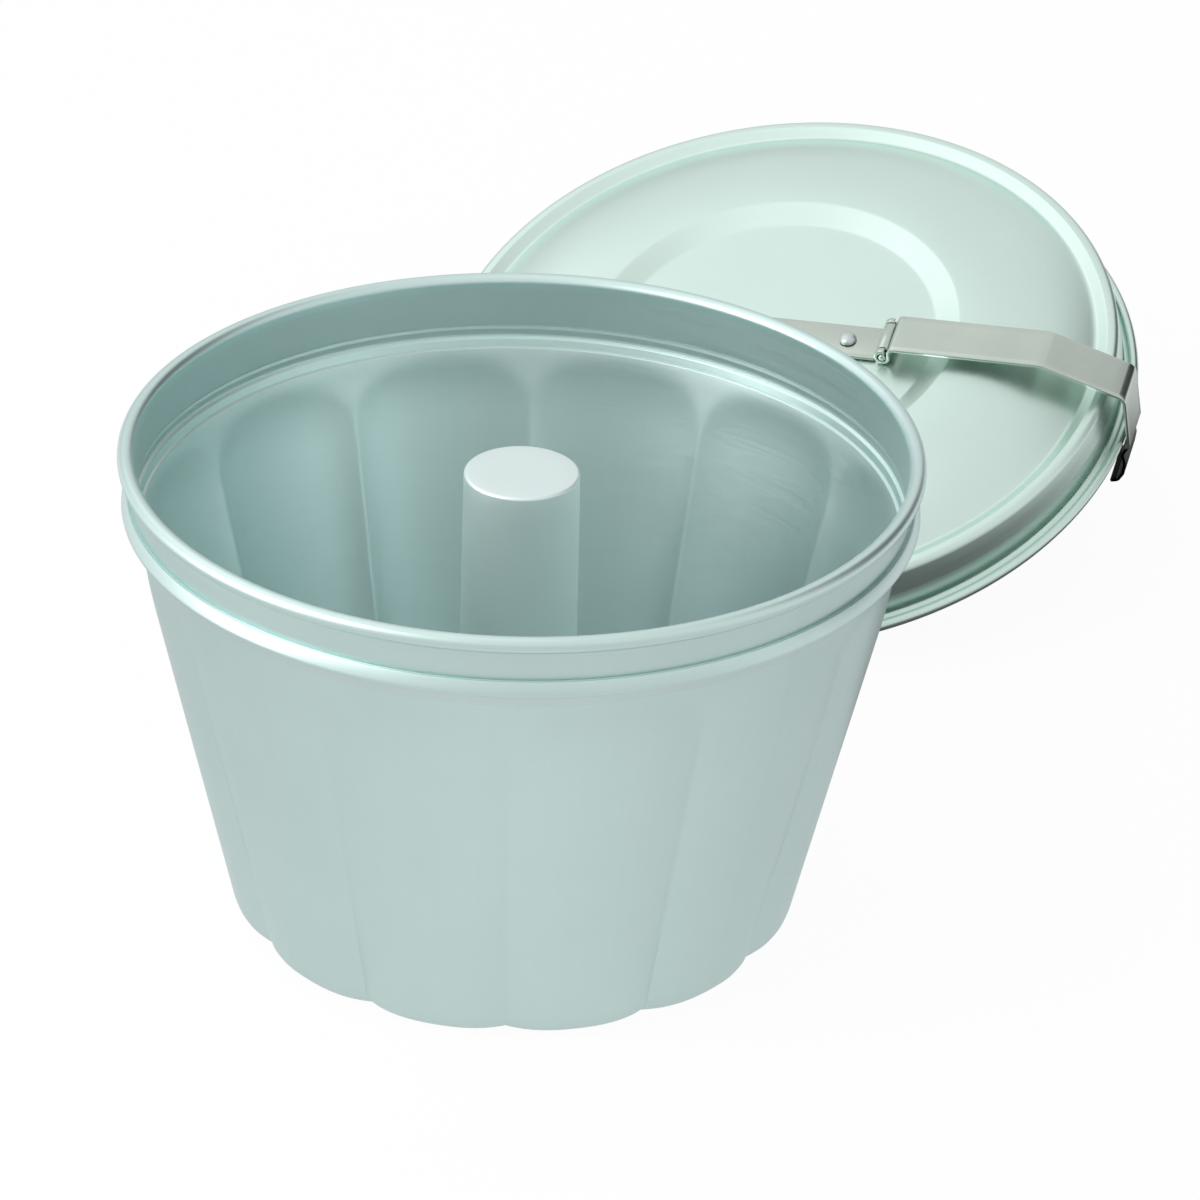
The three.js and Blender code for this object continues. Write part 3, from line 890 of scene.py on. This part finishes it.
def cup_inside(cup):
    """The cup's inside, from the raw edge over the rim's roll to the hole for the chimney."""
    inside = collar_radius(cup) - cup.sheet
    wall_gap = cup.sheet * math.hypot(1, wall_slope(cup))
    fine = cup.sheet / 4
    edge = cup.height - cup.bead_drop - cup.recess_drop
    depth = cup.recess_depth
    recess = [(inside + outward * depth, edge - down * depth, fine) for outward, down in RECESS_CORNERS]
    lip = bead_foot(cup) - cup.step_drop + cup.lip_rise
    lip_outward, lip_upward = LIP_CORNER
    roll = arc(curl_middle(cup), cup.curl_radius, cup.curl_end, math.pi, RIM_STEPS)
    corners = [
        tuple(roll[-1]),
        *recess,
        (inside + lip_outward * depth, lip + lip_upward * depth, fine),
        (cone_radius(cup, lip) - wall_gap / 2, lip, fine),
        (cone_radius(cup, cup.sheet) - wall_gap, cup.sheet, cup.foot_fillet - cup.sheet),
        (cup.seam_edge + cup.seam_slope + cup.sheet / 2, cup.sheet, cup.seam_slope),
        (cup.seam_edge + cup.sheet / 2, cup.seam_raise + cup.sheet, cup.seam_slope),
        (cup.seam_hole, cup.seam_raise + cup.sheet),
    ]
    return roll[:-1] + spaced(rounded(corners), CUP_ROW)


def clamped(value):
    return min(max(value, 0), 1)


def lobe_push(cup, turn, height, arch_top):
    """How far a lobe stands out of the cone, at a turn about the axis and a height."""
    pitch = 2 * math.pi / cup.lobes
    across = abs(2 * (turn / pitch % 1) - 1)
    climb = clamped((height - arch_top + cup.arch_height) / cup.arch_height)
    outward = (across ** cup.arch_squareness + climb ** cup.arch_squareness) ** (1 / cup.arch_squareness)
    depth = cup.lobe_depth_foot + (cup.lobe_depth_top - cup.lobe_depth_foot) * clamped(height / arch_top)
    return depth * (1 - min(outward, 1) ** cup.lobe_roundness)


def push_lobes(piece, cup):
    """Gathers the columns towards the creases, and pushes the flutes out of the wall between them."""
    arch_top = bead_foot(cup) - cup.arch_drop
    lean = math.atan2(1, wall_slope(cup))
    floor_edge = cup.foot_radius - cup.foot_fillet * math.tan(lean / 2)
    fade = cup.foot_fillet
    for vertex in piece.data.vertices:
        turn = math.atan2(vertex.co.x, -vertex.co.y)
        turn -= CREASE_GATHER * math.sin(cup.lobes * turn) / cup.lobes
        radius = math.hypot(vertex.co.x, vertex.co.y)
        if vertex.co.z <= arch_top:
            amount = clamped((radius - floor_edge + fade) / fade)
            radius += amount * lobe_push(cup, turn, vertex.co.z, arch_top)
        vertex.co.x = radius * math.sin(turn)
        vertex.co.y = -radius * math.cos(turn)


def chimney_outline(chimney):
    """The chimney's whole skin, from the inside of its top round its lip to the outside of its top."""
    inside_foot = chimney.foot_radius - chimney.sheet
    swage_top = chimney.seat + chimney.swage_height
    lip_foot = chimney.lip_top - chimney.sheet
    fine = chimney.sheet / 3
    corners = [
        (chimney.sheet, chimney.top - chimney.sheet),
        (chimney.top_radius - chimney.sheet, chimney.top - chimney.sheet, chimney.edge / 2),
        (inside_foot, swage_top, chimney.edge),
        (inside_foot, lip_foot, fine),
        (chimney.lip, lip_foot, fine),
        (chimney.lip, chimney.lip_top, fine),
        (chimney.foot_radius, chimney.lip_top, fine / 4),
        (chimney.foot_radius, chimney.seat, fine / 4),
        (chimney.swage_radius, chimney.seat, fine),
        (chimney.swage_radius, chimney.seat + chimney.swage_height / 2, fine),
        (chimney.foot_radius, swage_top, fine),
        (chimney.top_radius, chimney.top, chimney.edge),
        (chimney.sheet, chimney.top),
    ]
    return spaced(rounded(corners), TUBE_ROW)


def lid_outline(lid):
    """The lid's upper face, from its middle to the raw edge of its roll."""
    ridge_inside = lid.ridge_radius - lid.ridge_width
    ridge_foot = lid.ridge_height - lid.ridge_rise
    ring_outside = lid.disc_radius + lid.ring_width
    dome_top = lid.disc_height + lid.ring_rise
    dome = []
    for i in range(1, DOME_ROWS):
        part = i / DOME_ROWS
        radius = ring_outside + (ridge_inside - ring_outside) * part
        dome.append(Vector((radius, dome_top + (ridge_foot - dome_top) * part ** lid.dome_power)))
    roll = Vector((lid.edge_radius - lid.roll_radius, 0))
    inner_roll = lid.roll_radius - lid.sheet
    neck_part = (lid.ridge_height - lid.neck_height) / (lid.ridge_height - lid.skirt_foot)
    neck_radius = lid.ridge_radius + (lid.skirt_foot_radius - lid.ridge_radius) * neck_part
    middle = [
        (lid.ring_width, lid.disc_height),
        (lid.disc_radius, lid.disc_height, lid.ring_round),
        (ring_outside, dome_top, lid.ring_round),
        tuple(dome[0]),
    ]
    border = [
        tuple(dome[-1]),
        (ridge_inside, ridge_foot, RIDGE_FOOT * lid.ridge_round),
        (ridge_inside + lid.ridge_slope, lid.ridge_height, lid.ridge_round / 2),
        (lid.ridge_radius, lid.ridge_height, lid.ridge_round),
        (neck_radius, lid.neck_height, lid.ridge_round),
        (lid.skirt_foot_radius - lid.neck_depth, lid.skirt_foot, lid.sheet),
        (roll.x - inner_roll, 0),
    ]
    curl = arc(roll, inner_roll, -math.pi, lid.roll_end, ROLL_STEPS)
    return spaced(rounded(middle) + dome[1:-1] + rounded(border), LID_ROW) + curl[1:]


def hinge_height(clips):
    """The height of the hinge pins in the lid's own frame."""
    return clips.bracket_foot + clips.eye_bend + clips.sheet / 2


def bracket_outline(clips):
    """The bracket's middle line, from the end of one barrel across the lid to the end of the other."""
    level = clips.bracket_foot + clips.sheet / 2
    hinge = Vector((clips.hinge_reach, hinge_height(clips)))
    right = arc(hinge, clips.eye_bend, *BARREL_TURN, BARREL_STEPS)
    end = Vector((bracket_half_length(clips), level))
    half = [end, *right]
    return [Vector((-point.x, point.y)) for point in reversed(half)] + half


def bracket_half_length(clips):
    """From the lid's axis to the end of the bracket's full width, short of a barrel."""
    return clips.hinge_reach - clips.eye_bend - clips.sheet / 2 - clips.clearance


def clip_outline(clips, lid_edge):
    """A clip's middle line: eye, tab, flat run, shoulder, leg, notch and hook."""
    hinge = Vector((clips.hinge_reach, hinge_height(clips)))
    level = hinge.y + clips.clip_lift
    leg = lid_edge + clips.leg_gap + clips.sheet / 2
    hook = Vector((leg - clips.notch_depth, -clips.leg_foot - clips.notch_drop))
    turns = [(hook.x - inward * clips.hook_reach, hook.y - down * clips.hook_length, clips.clip_bend)
             for inward, down in HOOK_CORNERS]
    eye = arc(hinge, clips.eye_bend, *EYE_TURN, EYE_STEPS)
    corners = [
        tuple(eye[-1]),
        (hinge.x + clips.eye_bend, level, clips.clip_bend),
        (leg - clips.shoulder_reach, level, clips.knee_bend),
        (leg, level - clips.shoulder_drop, clips.leg_bend),
        (leg, -clips.leg_foot, clips.clip_bend),
        (hook.x, hook.y, clips.clip_bend / 2),
        *turns,
    ]
    return eye[:-1] + spaced(rounded(corners, BEND_STEPS), CLIP_ROW)


def rivet_outline(clips, lid):
    """A rivet's skin, from the middle of its tail to the top of its dome."""
    tail_top = lid.disc_height - lid.sheet - clips.clearance
    head_foot = clips.bracket_foot + clips.sheet + clips.clearance
    tail_foot = tail_top - clips.rivet_tail
    tail = [
        (clips.rivet_radius / 4, tail_foot),
        (clips.rivet_head, tail_foot, clips.rivet_tail / 2),
        (clips.rivet_head, tail_top, clips.rivet_tail / 8),
        (clips.rivet_radius, tail_top, clips.rivet_tail / 16),
        (clips.rivet_radius, head_foot, clips.rivet_tail / 16),
        (clips.rivet_head, head_foot),
    ]
    dome = arc(Vector((0, 0)), 1, *HEAD_TURN, HEAD_STEPS)
    head = [Vector((spoke.x * clips.rivet_head, head_foot + spoke.y * clips.rivet_dome)) for spoke in dome]
    return rounded(tail, TAIL_STEPS) + head[1:]


def pin_outline(clips):
    """A pin's skin, with slightly domed ends."""
    half = clips.clip_width / 2 + clips.clearance
    corners = [
        (clips.pin_radius / 4, -half),
        (clips.pin_radius, -half, clips.pin_radius / 2),
        (clips.pin_radius, half, clips.pin_radius / 2),
        (clips.pin_radius / 4, half),
    ]
    return spaced(rounded(corners), clips.ear_width)


# Studio

def floor_light(tree, studio, lid_middle):
    """What metal shows of the floor: a painted pool of light in front, a painted bright far end and a
    painted shade under the lid.
    """
    spot = add_node(tree, "ShaderNodeTexCoord").outputs["Object"]
    reach = studio.pool_radius
    from_pool = vector_node(tree, "DISTANCE", spot, (0, -studio.pool_distance, 0))
    pool = map_range(tree, from_pool, (0, reach), (studio.pool_middle, studio.pool_edge))
    far = map_range(tree, from_pool, (reach, POOL_END * reach), (studio.pool_edge, studio.bright_side))
    from_lid = vector_node(tree, "DISTANCE", spot, (lid_middle.x, lid_middle.y, 0))
    clear = smooth_step(tree, from_lid, studio.lid_shade_radius, SHADE_END * studio.lid_shade_radius)
    clear = math_node(tree, "MAXIMUM", clear, studio.lid_shade)
    return math_node(tree, "MULTIPLY", math_node(tree, "MAXIMUM", pool, far), clear)


def floor_finish(studio, lid_middle):
    """A floor that is white to the camera and keeps a soft shadow; where metal shows it, light and shade
    are painted on it.
    """
    material = bpy.data.materials.new("studio_floor")
    material.use_nodes = True
    tree = material.node_tree
    tree.nodes.clear()
    paint = add_node(tree, "ShaderNodeBsdfDiffuse")
    paint.inputs["Color"].default_value = (*studio.floor_colour, 1)
    path = add_node(tree, "ShaderNodeLightPath").outputs
    glow = add_node(tree, "ShaderNodeEmission")
    strength = math_node(tree, "MAXIMUM", floor_light(tree, studio, lid_middle), path["Is Camera Ray"])
    connect(tree, strength, glow.inputs["Strength"])
    mirrored = math_node(tree, "MAXIMUM", path["Is Glossy Ray"], path["Is Transmission Ray"])
    mirrored = math_node(tree, "MULTIPLY", mirrored, studio.floor_mirror)
    straight = math_node(tree, "MULTIPLY", path["Is Camera Ray"], studio.floor_glow)
    mix = add_node(tree, "ShaderNodeMixShader")
    connect(tree, math_node(tree, "MAXIMUM", straight, mirrored), mix.inputs[0])
    connect(tree, paint.outputs["BSDF"], mix.inputs[1])
    connect(tree, glow.outputs["Emission"], mix.inputs[2])
    result = add_node(tree, "ShaderNodeOutputMaterial")
    connect(tree, mix.outputs["Shader"], result.inputs["Surface"])
    return material


def studio_part(tree, ways, spans):
    """A soft mask of the directions that point far enough each of some named ways."""
    mask = 1
    for way, (start, full) in spans.items():
        mask = math_node(tree, "MULTIPLY", mask, smooth_step(tree, ways[way], start, full))
    return mask


def studio_world(studio):
    """A pale studio, white where the camera looks straight at it.

    It is brightest on the left, dark behind on the right, and dim low in front and low behind.
    """
    world = bpy.data.worlds.new("studio")
    world.use_nodes = True
    tree = world.node_tree
    tree.nodes.clear()
    toward = split_axes(tree, add_node(tree, "ShaderNodeTexCoord").outputs["Generated"])
    ways = {"right": toward["X"], "back": toward["Y"], "up": toward["Z"]}
    for way, opposite in (("left", "right"), ("front", "back"), ("down", "up")):
        ways[way] = math_node(tree, "MULTIPLY", ways[opposite], -1)
    front = studio_part(tree, ways, FRONT_STRIP)
    back = studio_part(tree, ways, BACK_STRIP)
    dim = math_node(tree, "MULTIPLY", math_node(tree, "MAXIMUM", front, back), DIMMING)
    dark = math_node(tree, "MAXIMUM", studio_part(tree, ways, DARK_CORNER), dim)
    level = map_range(tree, dark, (0, 1), (studio.sky, studio.dark_side))
    left = studio_part(tree, ways, BRIGHT_LEFT)
    bright = math_node(tree, "MULTIPLY", left, studio.bright_side - studio.sky)
    level = math_node(tree, "ADD", level, bright)
    seen = add_node(tree, "ShaderNodeLightPath").outputs["Is Camera Ray"]
    shine = add_node(tree, "ShaderNodeBackground")
    shine.inputs["Color"].default_value = (1, 1, 1, 1)
    connect(tree, math_node(tree, "MAXIMUM", level, seen), shine.inputs["Strength"])
    result = add_node(tree, "ShaderNodeOutputWorld")
    connect(tree, shine.outputs["Background"], result.inputs["Surface"])
    return world


def add_softbox(name, spot, target, width, power):
    """A square area lamp that faces a target."""
    bpy.ops.object.light_add(type="AREA", location=spot)
    lamp = bpy.context.active_object
    lamp.name = name
    lamp.data.name = name
    lamp.data.shape = "SQUARE"
    lamp.data.size = width
    lamp.data.energy = power
    lamp.rotation_euler = (Vector(target) - Vector(spot)).to_track_quat("-Z", "Y").to_euler()


def add_camera(studio, rim_height):
    """A long-lens camera that looks down on the mould from the front."""
    bpy.ops.object.camera_add()
    camera = bpy.context.active_object
    camera.data.lens = studio.lens
    camera.data.sensor_width = SENSOR_WIDTH
    back = Vector((0, -math.cos(studio.elevation), math.sin(studio.elevation)))
    level = Vector((1, 0, 0))
    upright = back.cross(level)
    right = math.cos(studio.roll) * level + math.sin(studio.roll) * upright
    up = back.cross(right)
    spot = Vector((0, 0, rim_height)) + studio.distance * back
    spot += studio.slide_right * right + studio.slide_up * up
    camera.matrix_world = Matrix.Translation(spot) @ Matrix((right, up, back)).transposed().to_4x4()
    bpy.context.scene.camera = camera


# Operators

class MOULD_OT_cup(Operator):
    """Model the fluted cup with its floor, bead, collar and rolled rim"""
    bl_idname = "mould.cup"
    bl_label = "Cup"

    def execute(self, context):
        cup = context.scene.mould_cup
        outside = cup_outside(cup)
        shell = turned("cup_shell", outside + cup_inside(cup), CUP_COLUMNS, ring=True)
        close_edit(shell)
        push_lobes(shell, cup)
        give_finishes(shell, "cup_satin", "cup_matt")
        for face in shell.data.polygons:
            face.material_index = int(face.index >= len(outside) * CUP_COLUMNS)
        fit(shell, "mould", ["mould_body"])
        return {"FINISHED"}


class MOULD_OT_chimney(Operator):
    """Model the hollow chimney in the middle of the cup"""
    bl_idname = "mould.chimney"
    bl_label = "Chimney"

    def execute(self, context):
        outline = chimney_outline(context.scene.mould_chimney)
        tube = turned("chimney_tube", outline, TUBE_COLUMNS, closed_start=True, closed_end=True)
        close_edit(tube)
        give_finishes(tube, "tube_satin")
        fit(tube, "mould", ["chimney"])
        return {"FINISHED"}


class MOULD_OT_lid(Operator):
    """Model the domed lid with its ridge, skirt and rolled edge"""
    bl_idname = "mould.lid"
    bl_label = "Lid"

    def execute(self, context):
        lid = context.scene.mould_lid
        shell = turned("lid_shell", lid_outline(lid), LID_COLUMNS, closed_start=True)
        close_edit(shell, lambda spot: Vector((0, 0, 1)) if spot.z > lid.skirt_foot else Vector())
        thicken(shell, lid.sheet)
        place(shell, lid_place(context.scene.mould_clips))
        give_finishes(shell, "lid_satin")
        fit(shell, "lid", ["lid_pan"])
        return {"FINISHED"}


class MOULD_OT_bracket(Operator):
    """Model the bracket across the lid, with a hinge barrel at each end"""
    bl_idname = "mould.bracket"
    bl_label = "Bracket"

    def execute(self, context):
        clips = context.scene.mould_clips
        barrel = clips.clip_width / 2 - clips.ear_width - clips.clearance
        edge = clips.bracket_width / 2
        strip = bent_strip("bracket_strip", bracket_outline(clips), (-edge, -barrel, barrel, edge))
        half = bracket_half_length(clips)
        delete_faces(strip, lambda spot: abs(spot.y) > barrel and abs(spot.x) > half)
        close_edit(strip)
        thicken(strip, clips.sheet, 0)
        soften_edges(strip, clips.edge_round)
        place(strip, lid_place(clips))
        give_finishes(strip, "strip_steel")
        fit(strip, "lid", ["clip_bracket"])
        return {"FINISHED"}


class MOULD_OT_rivets(Operator):
    """Model the two domed rivets through the bracket and the lid"""
    bl_idname = "mould.rivets"
    bl_label = "Rivets"

    def execute(self, context):
        clips = context.scene.mould_clips
        outline = rivet_outline(clips, context.scene.mould_lid)
        rivet = turned("rivet_right", outline, SMALL_COLUMNS, closed_start=True, closed_end=True)
        close_edit(rivet)
        for side, piece, turn in each_side(rivet, "rivet"):
            place(piece, lid_place(clips) @ turn @ Matrix.Translation((clips.rivet_reach, 0, 0)))
            give_finishes(piece, "rivet_steel")
            fit(piece, "lid", [f"bracket_rivet_{side}"])
        return {"FINISHED"}


class MOULD_OT_pins(Operator):
    """Model the two hinge pins"""
    bl_idname = "mould.pins"
    bl_label = "Hinge pins"

    def execute(self, context):
        clips = context.scene.mould_clips
        pin = turned("pin_right", pin_outline(clips), SMALL_COLUMNS, closed_start=True, closed_end=True)
        close_edit(pin)
        hinge = Matrix.Translation((clips.hinge_reach, 0, hinge_height(clips)))
        seat = hinge @ Matrix.Rotation(math.pi / 2, 4, "X")
        for side, piece, turn in each_side(pin, "pin"):
            place(piece, lid_place(clips) @ turn @ seat)
            give_finishes(piece, "strip_steel")
            fit(piece, "lid", [f"hinge_pin_{side}"])
        return {"FINISHED"}


class MOULD_OT_clips(Operator):
    """Model the two spring clips"""
    bl_idname = "mould.clips"
    bl_label = "Spring clips"

    def execute(self, context):
        clips = context.scene.mould_clips
        edge = clips.clip_width / 2
        ear = edge - clips.ear_width
        outline = clip_outline(clips, context.scene.mould_lid.edge_radius)
        clip = bent_strip("clip_right", outline, (-edge, -ear, ear, edge))
        hinge = Vector((clips.hinge_reach, 0, hinge_height(clips)))
        room = clips.eye_bend + clips.sheet + clips.clearance

        def in_the_room(spot):
            return abs(spot.y) < ear and Vector((spot.x - hinge.x, 0, spot.z - hinge.z)).length < room

        delete_faces(clip, in_the_room)
        close_edit(clip)
        thicken(clip, clips.sheet, 0)
        soften_edges(clip, clips.edge_round)
        for side, piece, turn in each_side(clip, "clip"):
            place(piece, lid_place(clips) @ turn)
            give_finishes(piece, "dipped_steel")
            fit(piece, f"clip_{side}", [f"clip_arm_{side}"])
        return {"FINISHED"}


class MOULD_OT_studio(Operator):
    """Set up the floor, the light and the camera"""
    bl_idname = "mould.studio"
    bl_label = "Studio"

    def execute(self, context):
        scene = context.scene
        studio = scene.mould_studio
        bpy.ops.object.select_all(action="DESELECT")
        bpy.ops.mesh.primitive_plane_add(size=FLOOR_SIZE, location=(0, 0, -FLOOR_GAP))
        floor = context.active_object
        floor.name = "studio_floor"
        lid_middle = lid_place(scene.mould_clips).to_translation()
        floor.data.materials.append(floor_finish(studio, lid_middle))
        scene.world = studio_world(studio)
        middle = (cad_lowest + cad_highest) / 2
        for name, offset in LAMP_PLACES.items():
            width = getattr(studio, f"{name}_width")
            watts = getattr(studio, f"{name}_power")
            add_softbox(name, middle + Vector(offset), middle, width, watts)
        add_camera(studio, scene.mould_cup.height)
        scene.view_settings.view_transform = "Standard"
        return {"FINISHED"}


class VIEW3D_PT_mould(Panel):
    """Sizes, finishes and steps of the pudding mould"""
    bl_label = "Pudding mould"
    bl_idname = "VIEW3D_PT_mould"
    bl_space_type = "VIEW_3D"
    bl_region_type = "UI"
    bl_category = "Mould"

    def draw(self, context):
        for operator in OPERATORS:
            self.layout.operator(operator.bl_idname)
        for name, group in SETTINGS.items():
            box = self.layout.box()
            box.label(text=group.__doc__)
            for setting in group.__annotations__:
                box.prop(getattr(context.scene, name), setting)


SETTINGS = {
    "mould_cup": CupSizes,
    "mould_chimney": ChimneySizes,
    "mould_lid": LidSizes,
    "mould_clips": ClipSizes,
    "mould_metals": MetalFinishes,
    "mould_studio": StudioSettings,
}
OPERATORS = (
    MOULD_OT_cup,
    MOULD_OT_chimney,
    MOULD_OT_lid,
    MOULD_OT_bracket,
    MOULD_OT_rivets,
    MOULD_OT_pins,
    MOULD_OT_clips,
    MOULD_OT_studio,
)


def register():
    for made in (*SETTINGS.values(), *OPERATORS, VIEW3D_PT_mould):
        bpy.utils.register_class(made)
    for name, group in SETTINGS.items():
        setattr(bpy.types.Scene, name, PointerProperty(type=group))


def unregister():
    for name in SETTINGS:
        delattr(bpy.types.Scene, name)
    for made in reversed((*SETTINGS.values(), *OPERATORS, VIEW3D_PT_mould)):
        bpy.utils.unregister_class(made)


def main():
    register()
    bpy.ops.mould.cup()
    bpy.ops.mould.chimney()
    bpy.ops.mould.lid()
    bpy.ops.mould.bracket()
    bpy.ops.mould.rivets()
    bpy.ops.mould.pins()
    bpy.ops.mould.clips()
    bpy.ops.mould.studio()


if __name__ == "__main__":
    main()
